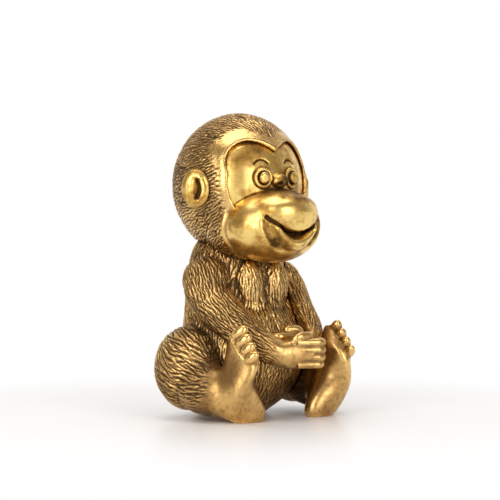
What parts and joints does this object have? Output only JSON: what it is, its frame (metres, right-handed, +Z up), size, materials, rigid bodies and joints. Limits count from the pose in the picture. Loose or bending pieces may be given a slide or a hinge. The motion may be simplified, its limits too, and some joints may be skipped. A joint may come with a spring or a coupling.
{
  "type": "monkey figurine",
  "caption": "Seated baby monkey figurine in antique-finished cast brass, hollow sections pinned together, with a smiling muzzle, cupped ears, clasped hands and upturned feet.",
  "frame": {"origin": "on the base plate's underside, in the plane that the figure stands on, straight below the middle of the head", "axes": "+Z up; the monkey faces -Y and its right side is towards -X"},
  "size_m": [0.1022, 0.0853, 0.1505],
  "materials": {
    "fur_brass": "cast brass with tool-cut fur, dark brown patina in the recesses and rubbed bright ridges",
    "polished_brass": "smooth polished brass with a thin antique tint",
    "plate_brass": "plain rolled brass, lightly tarnished",
    "pin_brass": "plain drawn brass",
    "screw_steel": "plain steel, slotted heads"
  },
  "bodies": {
    "root": {"head_shell": "fur_brass", "face_plate": "polished_brass", "muzzle": "polished_brass", "right_eye": "polished_brass", "left_eye": "polished_brass", "right_ear": "polished_brass", "left_ear": "polished_brass", "torso_shell": "fur_brass", "right_arm": "fur_brass", "left_arm": "fur_brass", "right_hand": "polished_brass", "left_hand": "polished_brass", "right_leg": "fur_brass", "left_leg": "fur_brass", "right_foot": "polished_brass", "left_foot": "polished_brass", "base_plate": "plate_brass", "neck_pins": "pin_brass", "muzzle_dowels": "pin_brass", "shoulder_dowels": "pin_brass", "wrist_dowels": "pin_brass", "hip_dowels": "pin_brass", "ankle_dowels": "pin_brass", "base_screws": "screw_steel"}
  },
  "joints": []
}
